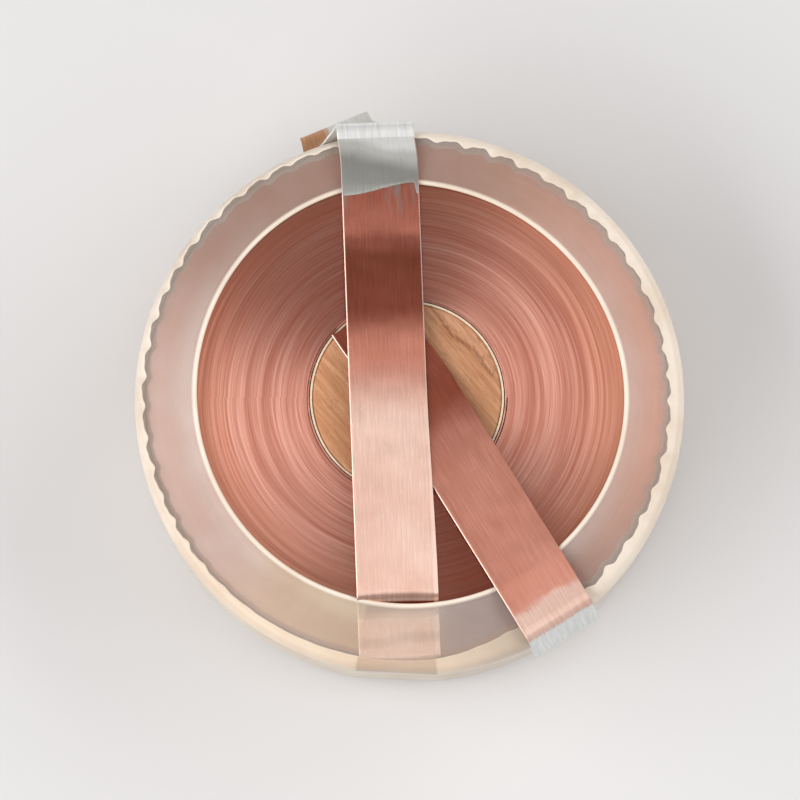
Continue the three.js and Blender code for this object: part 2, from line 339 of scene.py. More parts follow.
# Turned beech: tan, long grain across the face, short dark pores, dry and unfinished.
def makeWoodMaterial(look):
    material, tree, shader = startMaterial("Beech, turned and left bare", Roughness=0.65, IOR=1.5)
    turned = addNode(tree, "Mapping", {"Vector": addNode(tree, "TexCoord", output="Object"),
                                       "Rotation": (0, 0, math.radians(look["grainTurn"]))})
    rings = stretchedNoise(tree, turned, look["grainLength"] * mm, look["grainWidth"] * mm, 5.0)
    pores = stretchedNoise(tree, turned, look["poreLength"] * mm, look["poreWidth"] * mm, 2.0)
    dark = addNode(tree, "ValToRGB", [pores], stops=[(0.3, 1.0), (0.42, 0.0)])
    base = addNode(tree, "ValToRGB", [rings], stops=shadeStops(look))
    share = addNode(tree, "Math", [dark, 0.45], operation="MULTIPLY")
    base = addNode(tree, "Mix", {0: share, 6: base, 7: look["pore"]}, **mixed)
    tint = addNode(tree, "Attribute", output="Color", attribute_name="tint")
    sunk = addNode(tree, "Math", [dark, 0.5], operation="MULTIPLY")
    relief = addNode(tree, "Math", [rings, sunk], operation="SUBTRACT")
    linkShader(shader, {
        "Base Color": addNode(tree, "Mix", {0: 1.0, 6: base, 7: tint}, **multiplied),
        "Normal": addNode(tree, "Bump", {"Height": relief, "Strength": 0.5, "Distance": 0.12 * mm})})
    return material


# Kraft liner paper, cut with a knife: cream, matt, fibrous.
def makePaperMaterial(look):
    material, tree, shader = startMaterial("Liner paper, cut", Roughness=0.85, IOR=1.5)
    fibres = addNode(tree, "TexNoise", {
        "Vector": addNode(tree, "TexCoord", output="Object"), "Scale": 1 / (look["fibre"] * mm), "Detail": 4.0,
        "Roughness": 0.7}, "Fac")
    linkShader(shader, {
        "Base Color": addNode(tree, "ValToRGB", [fibres], stops=[(0.35, look["dark"]), (0.65, look["light"])]),
        "Normal": addNode(tree, "Bump", {"Height": fibres, "Strength": 0.4, "Distance": 0.05 * mm})})
    return material


# Shrink film: nearly clear where flat, milky where stretched, thick or doubled up; soft gloss.
def makeFilmMaterial(look):
    material, tree, shader = startMaterial("Shrink film, heat-shrunk", Roughness=0.3, IOR=1.49)
    coordinates = addNode(tree, "TexCoord", output="Object")
    cloud, ripple = [addNode(tree, "TexNoise", {"Vector": coordinates, "Scale": 1 / (size * mm), "Detail": 2.0}, "Fac")
                     for size in (look["cloud"], look["ripple"])]
    tint = addNode(tree, "Attribute", attribute_name="tint").node.outputs
    shade = addNode(tree, "ValToRGB", [cloud], stops=[(0.35, look["milky"]), (0.65, "#ffffff")])
    thickness = addNode(tree, "MapRange", [cloud, 0.3, 0.7, 0.97, 1.03])
    linkShader(shader, {
        "Base Color": addNode(tree, "Mix", {0: 1.0, 6: tint["Color"], 7: shade}, **multiplied),
        "Alpha": addNode(tree, "Math", [tint["Alpha"], thickness], operation="MULTIPLY", use_clamp=True),
        "Normal": addNode(tree, "Bump", {"Height": ripple, "Strength": 0.15, "Distance": 0.15 * mm})})
    return material


# Widths, lengths and sizes are in mm. The real foil's turns are finer than a render can show, so
# pitch and fineTurn are drawn coarser.
windingLook = {"pitch": 0.2, "fineTurn": 0.35, "coarseTurn": 1.6, "drift": 0.5, "dark": "#b87866",
               "middle": "#c68c7a", "light": "#d7a090", "band": "#e6d6d1", "roughLow": 0.32, "roughHigh": 0.42,
               # warm is a painted reflection of the film's cream bead on the outer turns
               "warm": "#cc8560", "warmFrom": 33, "warmTo": 43, "warmShare": 0.35,
               "pressedFrom": 42, "pressedTo": 43.5, "pressedShare": 0.75, "paintedShadeColour": "#8a3f30",
               # painted shade sectors: darker between the leads and towards the upper left
               "paintedShadeSectors": [(-64, 30, 0.75), (115, 62, 0.4)]}  # (direction, spread, strength)
foilLook = {"lineWidth": 0.35, "lineLength": 7.0, "fleckWidth": 0.22, "fleckLength": 1.5, "fleckShare": 0.42,
            "fleck": "#ffefe6", "patch": "#f6efec", "patchScale": 0.07, "dark": "#e0baaa", "middle": "#eac5b5",
            "light": "#f2d3c5", "roughLow": 0.3, "roughHigh": 0.38}
# The tail's bare copper is drawn darker and more orange than the strap's: painted shade and warm reflection on the
# flared end.
tailCopperLook = dict(foilLook, dark="#cf9468", middle="#dca47a", light="#eab890")
tinLook = {"streakWidth": 0.5, "streakLength": 7.0, "dark": "#dcdedc", "middle": "#eff0ee", "light": "#f8f9f7",
           "roughLow": 0.28, "roughHigh": 0.42}
paleTinLook = dict(tinLook, streakWidth=0.6, streakLength=9.0, dark="#cfd3d2", middle="#dadedd", light="#e8ebea")
woodLook = {"grainTurn": 50.0, "grainLength": 9.0, "grainWidth": 0.7, "poreLength": 1.3, "poreWidth": 0.22,
            "dark": "#b87c52", "middle": "#ca9066", "light": "#dba67e", "pore": "#8a5636"}
paperLook = {"fibre": 0.5, "dark": "#d8c0a0", "light": "#f3e0c8"}
filmLook = {"cloud": 12, "ripple": 3, "milky": "#f6f1ec"}

edgeWidth = 0.12  # painted highlight line along a strap's fold and free edge
# Outer lead stops: the dark band just past the foot is painted shade on the step where the lead rises from under the
# film; the dark stretch from 9 mm to the rim is partly heat tarnish and partly painted shade and reflection.
outerTarnishAndShade = {"wobble": 3.5, "slope": 0.0, "smudge": (34.5, 41.5), "smudgeColour": "#8d8984", "dullFrom": 60.0,
               "freeEdge": 7.4, "foldEdge": -7.3, "edgeHighlightColour": "#f6d6c8", "stops": [
                   (-42.3, "#ffffff"), (-41.6, "#c08474"), (-40.0, "#8a4a3c"), (-39.75, "#ffffff"), (-5, "#ffffff"),
                   (9, "#dcaea2"), (18, "#905f52"), (27, "#875a4d"), (30.5, "#a2736a"), (33, "#c9968a"),
                   (41, "#b98376")]}
# Inner lead stops: painted shadow of the outer lead, darkest near the root where it runs under it, lighter towards the
# rim.
innerPaintedShadow = {"wobble": 3.0, "slope": 0.0, "dullFrom": 45.0, "foldEdge": -7.1, "edgeHighlightColour": "#f6d6c8", "stops": [
    (-20, "#a46d5f"), (4, "#a46d5f"), (12, "#d0a59b"), (20, "#dfb5ab"), (46.7, "#e2bab0"), (48.2, "#ffffff"),
    (54, "#ffffff")]}
# Solder coat stops: painted shade on the flat part and a painted highlight where the coat turns down towards the rim.
solderPaintedLight = {"wobble": 2.5, "slope": 0.25, "foldEdge": -7.4, "edgeHighlightColour": "#f0f0ee", "stops": [
    (36, "#c4c3be"), (39.5, "#a9a8a3"), (45, "#9f9d98"), (48.5, "#d2d1ce"), (50.4, "#f4f4f3"), (53, "#f4f4f3")]}
# Tail stops: painted shade, darker down the hanging end of each tail.
tailPaintedShade = {"wobble": 1.0, "slope": 0.0, "dullFrom": 40.0, "foldEdge": -7.7, "edgeHighlightColour": "#f2e6e0",
              "stops": [(50, "#ffffff"), (57, "#ffffff"), (61, "#d6d4cf"), (68, "#e2e0dc")]}
dippedPaintedShade = dict(tailPaintedShade, stops=[(50, "#ffffff"), (60, "#ffffff"), (68, "#f2f3f2")])
# the solder's front lies along one axis of the strap: 0 across it, 1 along it
innerTin = {"look": paleTinLook, "axis": 1, "front": 53.4, "fade": 0.12, "toothWidth": 0.4, "toothLength": 2.6}
outerTin = {"look": tinLook, "axis": 0, "front": -1.7, "fade": 0.6, "toothWidth": 0.9, "toothLength": 1.5,
            "bareBelow": 62.6}

windingCopper = makeWindingMaterial(windingLook)
innerCopper = makeFoilMaterial("Copper foil, rolled, inner lead", foilLook, innerPaintedShadow)
outerCopper = makeFoilMaterial("Copper foil, rolled, heat-tarnished by soldering", foilLook, outerTarnishAndShade)
innerTailMetal = makeFoilMaterial("Copper foil, its end dipped in solder", foilLook, dippedPaintedShade, innerTin)
outerTailMetal = makeFoilMaterial("Copper foil, end wiped with solder", tailCopperLook, tailPaintedShade, outerTin)
wipedTin = makeTinMaterial("Solder, wiped on copper", tinLook, solderPaintedLight)
beech = makeWoodMaterial(woodLook)
linerPaper = makePaperMaterial(paperLook)
shrinkFilm = makeFilmMaterial(filmLook)
print("materials made")


# Winding

winding = {"columns": 220, "topPitch": 0.17, "bottomPitch": 0.7, "ridge": 0.03, "lowest": 0.06,
           "pressedFrom": 41.5, "pressedTo": 43.5}


def ridgeHeight(turnNumber, angle):
    slow = Vector((turnNumber * 0.1, math.cos(angle) * 0.25, math.sin(angle) * 0.25))
    fast = Vector((turnNumber * 0.55, math.cos(angle) * 0.3, math.sin(angle) * 0.3 + 7.0))
    wide = Vector((turnNumber * 0.27, math.cos(angle) * 0.35, math.sin(angle) * 0.35 + 19.0))
    return noise.noise(slow) * 0.6 + noise.noise(fast) * 0.45 + noise.noise(wide) * 0.7


# One spiral sheet of turns: each turn's edge joins the next, so the ridges run on round the roll
def spiralSheet(innerRadius, outerRadius, pitch, height, relief, columns):
    turns = int((outerRadius - innerRadius) / pitch) - 1
    step = (outerRadius - innerRadius) / (turns + 1)
    points = []
    for index in range(turns * columns + columns + 1):
        turnNumber = index / columns
        angle = 2 * math.pi * turnNumber
        radius = innerRadius + step * turnNumber
        rise = min(max(ridgeHeight(turnNumber * pitch / 0.17, angle), -1.0), 1.0)
        loose = 1 - 0.85 * smoothStep(winding["pressedFrom"], winding["pressedTo"], radius)
        points.append((radius * math.cos(angle), radius * math.sin(angle), height + relief * loose * (rise - 1.0)))
    faces = [(k, k + columns, k + columns + 1, k + 1) for k in range(turns * columns)]
    innerLoop = list(range(columns + 1))
    outerLoop = list(range(turns * columns, turns * columns + columns + 1))
    return points, faces, innerLoop, outerLoop


def buildWinding():
    inner = firstTurnOuter + 0.03
    outer = windingRadius
    top = spiralSheet(inner, outer, winding["topPitch"], faceHeight, winding["ridge"], winding["columns"])
    bottom = spiralSheet(inner, outer, winding["bottomPitch"], windingLow.z + winding["lowest"], 0.03,
                         winding["columns"])
    points = list(top[0])
    shift = len(points)
    points += [(x, y, max(z, windingLow.z)) for x, y, z in bottom[0]]
    faces = list(top[1]) + [tuple(i + shift for i in reversed(face)) for face in bottom[1]]
    for topLoop, bottomLoop, outward in ((top[2], bottom[2], False), (top[3], bottom[3], True)):
        count = len(topLoop)
        for k in range(count):
            after = (k + 1) % count
            quad = (topLoop[k], topLoop[after], bottomLoop[after] + shift, bottomLoop[k] + shift)
            faces.append(tuple(reversed(quad)) if outward else quad)
    return addMesh("woundFoil", [(x * mm, y * mm, z * mm) for x, y, z in points], faces, windingCopper)


# A single standing turn: a closed ring whose upper edge waves like the slit edge of the foil
def buildRing(name, innerRadius, outerRadius, low, high, wave, material, smooth=True):
    columns = 240
    points, faces = [], []
    for column in range(columns):
        angle = 2 * math.pi * column / columns
        around = Vector((math.cos(angle) * 3, math.sin(angle) * 3, outerRadius))
        rise = wave * (0.5 * noise.noise(around * 1.7) + 0.3 * noise.noise(around * 6) - 0.5)
        for radius, height in ((innerRadius, low), (outerRadius, low), (outerRadius, high + rise),
                               (innerRadius, high + rise)):
            points.append((radius * math.cos(angle) * mm, radius * math.sin(angle) * mm, height * mm))
    for column in range(columns):
        after = (column + 1) % columns
        for corner in range(4):
            follow = (corner + 1) % 4
            faces.append((column * 4 + corner, after * 4 + corner, after * 4 + follow, column * 4 + follow))
    return addMesh(name, points, faces, material, smooth=smooth)


firstTurnOuter = boxOf("foil_first_turn")[1].x
lastTurnOuter = boxOf("foil_last_turn")[1].x
turnThickness = firstTurnOuter - linerRadius - 0.2
rideAs(buildWinding(), "root", "copper", "foil_winding")
rideAs(buildRing("firstTurn", firstTurnOuter - turnThickness, firstTurnOuter, windingLow.z, faceHeight, 0.12,
                 windingCopper, False), "root", "copper", "foil_first_turn")
rideAs(buildRing("lastTurn", lastTurnOuter - 0.3, lastTurnOuter, windingLow.z, faceHeight, 0.12, windingCopper,
                 False), "root", "copper", "foil_last_turn")
print("winding made")


# Wooden core and its liner

core = {"rings": 46, "columns": 120, "chipDistance": 15.4, "chipDepth": 0.6, "crackDepth": 0.5,
        "crackWidth": 0.3, "roughness": 0.05, "chamfer": 0.35}


def coreSurface(x, y):
    # distance past the crack line, which wanders a little across the upper right of the face
    side = (x + y) / math.sqrt(2)
    run = (x - y) / math.sqrt(2)
    line = core["chipDistance"] + 0.45 * math.sin(run * 0.55) + 0.3 * noise.noise(Vector((run * 0.9, 3.0, 0.0)))
    past = side - line
    torn = smoothStep(-0.05, 0.5, past)
    rough = 0.6 * noise.noise(Vector((x * 1.1, y * 1.1, 0.0))) + 0.4 * noise.noise(Vector((x * 2.6, y * 2.6, 5.0)))
    grain = noise.noise(Vector((side * 1.9, run * 0.18, 0.0)))
    depth = core["roughness"] * grain - torn * (core["chipDepth"] * (0.35 + 0.6 * rough))
    crack = math.exp(-(past / core["crackWidth"]) ** 2)
    crack *= smoothStep(-11.0, -7.0, run) * (1 - smoothStep(7.5, 10.5, run))
    depth -= core["crackDepth"] * crack
    # a second fine split runs with the grain nearer the middle
    split = side - 6.3 - 0.35 * math.sin(run * 0.4)
    fine = math.exp(-(split / 0.16) ** 2) * smoothStep(-9.0, -4.0, -abs(run - 2.0) + 3.0)
    depth -= 0.22 * fine
    return depth, torn, max(crack, fine * 0.6), rough


def buildCore():
    points, faces, tints = [], [], []
    rings, columns = core["rings"], core["columns"]
    top = coreHigh.z

    def addCircle(radius, heightAt, tintAt):
        for column in range(columns):
            angle = 2 * math.pi * column / columns
            x, y = radius * math.cos(angle), radius * math.sin(angle)
            points.append((x * mm, y * mm, heightAt(x, y) * mm))
            tints.append(tintAt(x, y))

    def faceTint(x, y):
        depth, torn, crack, rough = coreSurface(x, y)
        dark = (1 - 0.42 * crack) * (1 - 0.2 * torn * smoothStep(-0.1, 0.4, rough))
        dark *= 1.03 - 0.17 * smoothStep(-6, 8, x + 0.6 * y)  # painted shade of the leads, darker towards the upper right
        pale = 1 + 0.1 * torn
        return dark * pale, dark * (pale + 0.03 * torn - 0.22 * crack), dark * (pale + 0.12 * torn - 0.35 * crack), 1

    def faceRise(x, y):
        return top - 0.05 + min(coreSurface(x, y)[0], 0.04)

    points.append((0, 0, faceRise(0, 0) * mm))
    tints.append((1, 1, 1, 1))
    for ring in range(1, rings + 1):
        addCircle((coreRadius - core["chamfer"]) * ring / rings, faceRise, faceTint)
    for radius, height in ((coreRadius, top - core["chamfer"] - 0.05), (coreRadius, top * 0.5),
                           (coreRadius, core["chamfer"]), (coreRadius - core["chamfer"], 0.0)):
        addCircle(radius, lambda x, y: height, lambda x, y: faceTint(x * 0.97, y * 0.97))
    underside = (0.92, 0.92, 0.92, 1)
    for ring in range(rings - 4, 0, -6):
        addCircle((coreRadius - core["chamfer"]) * ring / rings, lambda x, y: 0.0, lambda x, y: underside)
    points.append((0, 0, 0))
    tints.append(underside)
    total = (len(points) - 2) // columns
    start = 1 + (total - 1) * columns
    for column in range(columns):
        beside = (column + 1) % columns
        faces.append((0, 1 + column, 1 + beside))
        faces.append((len(points) - 1, start + beside, start + column))
        for ring in range(total - 1):
            here, there = 1 + ring * columns + column, 1 + ring * columns + beside
            faces.append((here, here + columns, there + columns, there))
    made = addMesh("beechCore", points, faces, beech)
    setColours(made, tints)
    return made


rideAs(buildCore(), "root", "wood", "wood_core")
rideAs(buildRing("coreLiner", coreRadius + 0.03, linerRadius, linerLow.z, linerHigh.z + 0.15, 0.3, linerPaper, False),
       "root", "paper", "core_liner")
print("core made")


# Shrink film

film = {"columns": 900, "thickness": 0.15, "pleats": 55, "gatherRadius": 51.4, "gatherRise": 0.42,
        "openingRadius": 41.75, "beadRadius": 0.42, "footAngle": 267.8, "footHalf": 8.3}
openingWaves = [(1, 0.75, 53.0), (2, 0.45, -52.0), (3, 0.26, -17.0)]
# what the film shows over its parts: colour it takes, and how much of the light it holds back.
# Left is a painted sheen, inner partly milky film and partly painted sheen, between the leads' painted shadow,
# ridge partly doubled film and partly painted shade.
filmShades = {"lip": ("#f1e5d7", 0.13), "inner": ("#f3ece5", 0.10), "left": ("#f9f3ed", 0.13),
              "bottom": ("#f9eace", 0.17), "between": ("#d4cbc7", 0.17), "foot": ("#edddcb", 0.12),
              "ridge": ("#c8c0b6", 0.34), "band": ("#f5e8d8", 0.93), "wall": ("#fdf2e1", 0.74),
              "bead": ("#faefdf", 0.95)}


def openingShift(angle):
    return sum(size * math.cos(lobes * angle - math.radians(phase)) for lobes, size, phase in openingWaves)


def angleFrom(angle, degrees):
    return abs((math.degrees(angle) - degrees + 180) % 360 - 180)


def around(angle, size, shift):
    return noise.noise(Vector((math.cos(angle) * size, math.sin(angle) * size, shift)))


# How strongly the film is gathered: it is pulled flat where the outer lead comes up under it
def gatherShare(angle):
    return 1 - 0.92 * (1 - smoothStep(20, 62, angleFrom(angle, 262)))


def pleat(angle):
    phase = film["pleats"] * angle + 2.4 * around(angle, 2.2, 2.0)
    wave = math.sin(phase) + 0.4 * math.sin(2 * phase + 0.9)
    return wave * (0.8 + 0.55 * around(angle, 5.0, 9.0)) * gatherShare(angle)


# The roll stands a little off centre in its film: loose at the right and below, tight above
def wallRadius(angle):
    radius = filmRadius - 0.09 - 0.5 * (1 - math.cos(angle)) - 1.0 * max(0.0, math.sin(angle)) ** 1.5
    radius += 0.4 * max(0.0, -math.sin(angle))
    off = angleFrom(angle, film["footAngle"])
    if off < film["footHalf"]:
        radius *= math.cos(math.radians(film["footHalf"])) / math.cos(math.radians(off))
    return radius


# Between the two leads the film is drawn inwards in one long slanting pleat
def slantingPleat(angle):
    degrees = math.degrees(angle) % 360
    return smoothStep(274, 299, degrees) * (1 - smoothStep(300, 306, degrees))


# Side view of the film at one angle, from its lower edge up the wall and in to the bead
def filmProfile(angle):
    opening = film["openingRadius"] + openingShift(angle)
    fold = pleat(angle)
    share = gatherShare(angle)
    flat = faceHeight + 0.76
    wall = wallRadius(angle)
    gather = min(film["gatherRadius"] + 0.42 * fold, wall - 0.9) - 1.7 * slantingPleat(angle)
    gather -= 0.8 * max(0.0, math.cos(angle - math.radians(60))) ** 2
    crest = flat + film["gatherRise"] * share * (1.0 + 0.2 * fold)
    slack = 0.2 * around(angle, 2.5, 4.0)
    lipEnd = filmTop - 0.1 - film["beadRadius"]
    outline = [(r, z, "wall") for r, z in (
        (43.2, 0.12), (46.0, 0.1), (50.0, 0.1), (51.8, 0.25), (wall - 0.5, 1.2), (wall - 0.05, 3.0), (wall, 8.0),
        (wall - 0.12, 14.0 + slack), (wall - 0.18 + slack * 0.4, 20.0), (wall - 0.1 + slack * 0.4, 24.0))]
    outline += [(r, z, "band") for r, z in (
        (wall, 27.5), (wall - 0.08, 29.2), (wall - 0.3 + 0.03 * fold, 30.2), (wall - 0.75 + 0.07 * fold, 31.0),
        ((wall + gather) / 2 - 0.15, crest - 0.3), (gather + 0.25, crest - 0.08), (gather + 0.04, crest))]
    outline += [(r, z, "ridge") for r, z in (
        (gather - 0.06, crest - 0.02), (gather - 0.5, crest - 0.25 * share),
        (gather - 1.0 - 0.15 * fold, flat + 0.06))]
    lipStart = gather - 1.4
    for step in range(9):
        amount = step / 8
        radius = lipStart + (opening + 0.7 - lipStart) * amount
        outline.append((radius, flat + (lipEnd - flat) * amount ** 1.5, "lip"))
    return outline, opening, lipEnd


def filmTint(angle, radius, opening, zone):
    colour, alpha = filmShades[zone]
    colour = np.array(toLinear(colour)[:3])
    if zone == "lip":
        inner = 1 - smoothStep(0.5, 5.5, radius - opening)
        left = 1 - smoothStep(15, 80, angleFrom(angle, 212))
        bottom = 1 - smoothStep(6, 38, angleFrom(angle, 252))
        between = 1 - smoothStep(9, 15, angleFrom(angle, 290))
        foot = 1 - smoothStep(film["footHalf"], film["footHalf"] + 0.6, angleFrom(angle, film["footAngle"]))
        top = 1 - smoothStep(25, 75, angleFrom(angle, 90))
        # Painted light on the lip: left is a painted sheen from the left; inner whitens the film near its opening,
        # partly milky film standing off the copper and partly painted sheen, weaker at the top; between is the leads'
        # painted shadow.
        shares = {"inner": inner * (1 - between) * (1 - 0.8 * top), "left": left * (1 - bottom),
                  "bottom": bottom * (1 - foot), "between": between * (1 - foot), "foot": foot}
        for name, share in shares.items():
            target, extra = filmShades[name]
            colour = colour * (1 - 0.8 * share) + np.array(toLinear(target)[:3]) * 0.8 * share
            alpha += extra * share
    elif zone == "ridge":
        # The ridge's grey is partly film doubled in the pleats and partly painted shade in the valley inside the
        # crest.
        share = gatherShare(angle)
        lip = filmShades["lip"]
        colour = colour * share + np.array(toLinear(lip[0])[:3]) * (1 - share)
        alpha = alpha * share + (lip[1] + 0.1) * (1 - share)
    elif zone == "band":
        foot = 1 - smoothStep(film["footHalf"], film["footHalf"] + 0.4, angleFrom(angle, film["footAngle"]))
        slant = slantingPleat(angle)
        low = 1 - smoothStep(10, 60, angleFrom(angle, 250))
        alpha -= 0.38 * foot + 0.25 * slant
        colour = colour * (1 - 0.14 * slant) * np.array((1 - 0.02 * low, 1 - 0.09 * low, 1 - 0.16 * low))
    return (*colour, min(max(alpha, 0.03), 0.96))


def buildFilm():
    columns = film["columns"]
    half = film["thickness"] / 2
    points, tints, faces = [], [], []
    for column in range(columns):
        angle = 2 * math.pi * column / columns
        outline, opening, lipEnd = filmProfile(angle)
        inside, outside = [], []
        for index, (radius, height, zone) in enumerate(outline):
            before = outline[max(index - 1, 0)]
            after = outline[min(index + 1, len(outline) - 1)]
            run = Vector((after[0] - before[0], after[1] - before[1])).normalized() * half
            tint = filmTint(angle, radius, opening, zone)
            inside.append((radius - run.y, height + run.x, tint))
            outside.append((radius + run.y, height - run.x, tint))
        bead = []
        for step in range(9):
            turn = math.radians(-60 - 240 * step / 8)
            bead.append((opening + film["beadRadius"] * math.cos(turn), lipEnd + film["beadRadius"] * math.sin(turn),
                         filmTint(angle, opening, opening, "bead")))
        for radius, height, tint in inside + bead + outside[::-1]:
            points.append((radius * math.cos(angle) * mm, radius * math.sin(angle) * mm, height * mm))
            tints.append(tint)
    size = len(points) // columns
    for column in range(columns):
        after = (column + 1) % columns
        for index in range(size):
            follow = (index + 1) % size
            faces.append((column * size + index, column * size + follow, after * size + follow, after * size + index))
    made = addMesh("filmSleeve", points, faces, shrinkFilm)
    setColours(made, tints)
    return made


rideAs(buildFilm(), "root", "film", "film_sleeve")
print("film made")


# Leads

ply = {"thickness": 0.11, "gap": 0.05, "foldRadius": 0.2, "extra": 0.12, "columns": 22}


# Cross-section of a foil folded lengthwise: its middle line from the free upper edge round the
# fold on the left to the free lower edge, which stands out past the upper one by "extra"
def foldedSection(width, extra):
    rise = (ply["thickness"] + ply["gap"]) / 2
    reach = ply["foldRadius"] - ply["thickness"] / 2
    left = -width / 2 + ply["foldRadius"]
    section = []
    for step in range(ply["columns"] + 1):
        across = width / 2 + (left - width / 2) * step / ply["columns"]
        section.append((across, rise + (reach - rise) * math.exp(-((across - left) / 0.5) ** 2)))
    for step in range(1, 6):
        turn = math.radians(90 + 30 * step)
        section.append((left + reach * math.cos(turn), reach * math.sin(turn)))
    for step in range(ply["columns"] + 1):
        across = left + (width / 2 + extra - left) * step / ply["columns"]
        section.append((across, -rise - (reach - rise) * math.exp(-((across - left) / 0.5) ** 2)))
    return section


def smoothLine(corners, spacing):
    dense = []
    for (startAlong, startHeight), (endAlong, endHeight) in zip(corners, corners[1:]):
        along, height = endAlong - startAlong, endHeight - startHeight
        steps = max(1, round(math.hypot(along, height) / spacing))
        dense += [(startAlong + along * k / steps, startHeight + height * k / steps) for k in range(steps)]
    return dense + [corners[-1]]


def arc(centreAlong, centreHeight, radius, fromDegrees, toDegrees, steps):
    turns = [math.radians(fromDegrees + (toDegrees - fromDegrees) * k / steps) for k in range(steps + 1)]
    return [(centreAlong + radius * math.cos(t), centreHeight + radius * math.sin(t)) for t in turns]


# Sweeps the folded section along a side-view line; bendPoint then moves each point, given its
# place across and along and its height, and mapAlong gives the pattern's place along the strap
def buildStrap(name, axes, line, width, material, extraAt, bendPoint, mapAlong, mirrored=False):
    points, uvs, faces = [], [], []
    lengths = [0.0]
    for before, after in zip(line, line[1:]):
        lengths.append(lengths[-1] + math.hypot(after[0] - before[0], after[1] - before[1]))
    size = 0
    for index, (along, height) in enumerate(line):
        before = line[max(index - 1, 0)]
        after = line[min(index + 1, len(line) - 1)]
        run = Vector((after[0] - before[0], after[1] - before[1])).normalized()
        section = foldedSection(width, extraAt(along))
        upper, lower = [], []
        for k, (across, lift) in enumerate(section):
            near = section[max(k - 1, 0)]
            far = section[min(k + 1, len(section) - 1)]
            edge = Vector((far[0] - near[0], far[1] - near[1])).normalized() * ply["thickness"] / 2
            upper.append((across + edge.y, lift - edge.x))
            lower.append((across - edge.y, lift + edge.x))
        loop = upper + lower[::-1]
        size = len(loop)
        for across, lift in loop:
            a, v, z = bendPoint(across, along - run.y * lift, height + run.x * lift)
            points.append(placeOn(axes, a, v, z))
            uvs.append((across, mapAlong(along, height, lengths[index])))
    for row in range(len(line) - 1):
        for k in range(size):
            follow = (k + 1) % size
            faces.append((row * size + k, row * size + follow, (row + 1) * size + follow, (row + 1) * size + k))
    last = (len(line) - 1) * size
    for k in range(size // 2 - 1):
        faces.append((size - 1 - k, size - 2 - k, k + 1, k))
        faces.append((last + k, last + k + 1, last + size - 2 - k, last + size - 1 - k))
    if mirrored:
        faces = [tuple(reversed(face)) for face in faces]
    return addMesh(name, points, faces, material, uvs)


# A strap piece: its placement is baked into its mesh and the CAD nodes it stands for are hidden
def bendBetween(piece, axes, fromBody, toBody, crease, reach, slot, *nodeNames):
    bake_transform(piece)
    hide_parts(*nodeNames)


outer = {"width": 15.0, "bendRadius": 2.0, "archDepth": 0.3, "tailShift": -7.2, "tailTurn": 20.4,
         "rimShift": -0.6, "flareFrom": 1.2, "creaseAt": 47.3, "creaseSlope": 0.09}
inner = {"width": 14.6, "bendRadius": 2.0, "start": -18.0}
fold = outerAxes["hinge"]
footHeight = faceHeight + 0.33
rimHeight = bridgeHeight - 0.6
beadPlace = film["openingRadius"]
tailLap = 1.2  # a tail starts this far inside its crease


def wave(across, along, shift):
    slow = noise.noise(Vector((across * 0.12 + shift, along * 0.09, 1.0)))
    quick = noise.noise(Vector((across * 0.33 + shift, along * 0.3, 6.0)))
    return 0.05 * slow + 0.02 * quick


def outerExtra(along):
    return ply["extra"] + 0.75 * (1 - smoothStep(-38.0, 5.0, along))


def rimTurn(along):
    return outer["rimShift"] * smoothStep(45.5, 53.6, along)


def bendOuter(across, along, height):
    arch = outer["archDepth"] * (1 - (2 * across / outer["width"]) ** 2)
    near = 1 - smoothStep(fold + 0.3, fold + 5.0, along)
    lift = arch * near * smoothStep(faceHeight + 1.0, faceHeight + 2.2, height) if along > -42 else 0
    if along < -46:  # the foot follows the roll's round edge at its end
        lift += (1 - smoothStep(-51.0, -46.0, along)) * across * across / (2 * -footEnd)
    if height < faceHeight + 0.6:  # a crease across the foot
        height -= 0.14 * smoothStep(-0.3, 0.3, along + outer["creaseAt"] - outer["creaseSlope"] * across)
    return across + rimTurn(along), along + lift, height + wave(across, along, 0)


def bendInner(across, along, height):
    # its fold lies on the other side, and its start leans a little off the straight line
    return -across + 1.2 * (1 - smoothStep(inner["start"], 1.0, along)), along, height + wave(across, along, 20)


# The tail turns and slips sideways below the rim, bows in towards the film, then flares out
def bendOuterTail(across, along, height):
    below = min(max((rimHeight - 1.6 - height) / 11.0, 0), 1)
    turned = smoothStep(0.0, 0.75, below)
    turn = math.radians(outer["tailTurn"]) * turned
    flare = max(0.0, along - outerRim - outer["flareFrom"]) * smoothStep(0.5, 0.7, below)
    across *= 1 - 0.05 * turned
    a = across * math.cos(turn) + rimTurn(min(along, 53.6)) + outer["tailShift"] * turned - flare * math.tan(turn)
    hug = smoothStep(0.02, 0.35, below) * (1 - smoothStep(0.66, 0.95, below)) * a * a / (2 * outerRim)
    return a, along + across * math.sin(turn) - hug, height + wave(across, along, 0) * (1 - below)


# Side view of a tail: flat up to its crease, over the rim, then down through the drops (out, down)
def tailLine(rim, radius, drops, shift):
    bend = arc(rim + shift, rimHeight - radius, radius, 86.5, 8, 16)
    flat = smoothLine([(rim - tailLap, rimHeight + 0.072), (rim - 0.25 + shift, rimHeight + 0.01)], 0.25)
    hanging = smoothLine([bend[-1]] + [(rim + out, rimHeight - down) for out, down in drops], 0.5)
    return flat + bend[:-1] + hanging


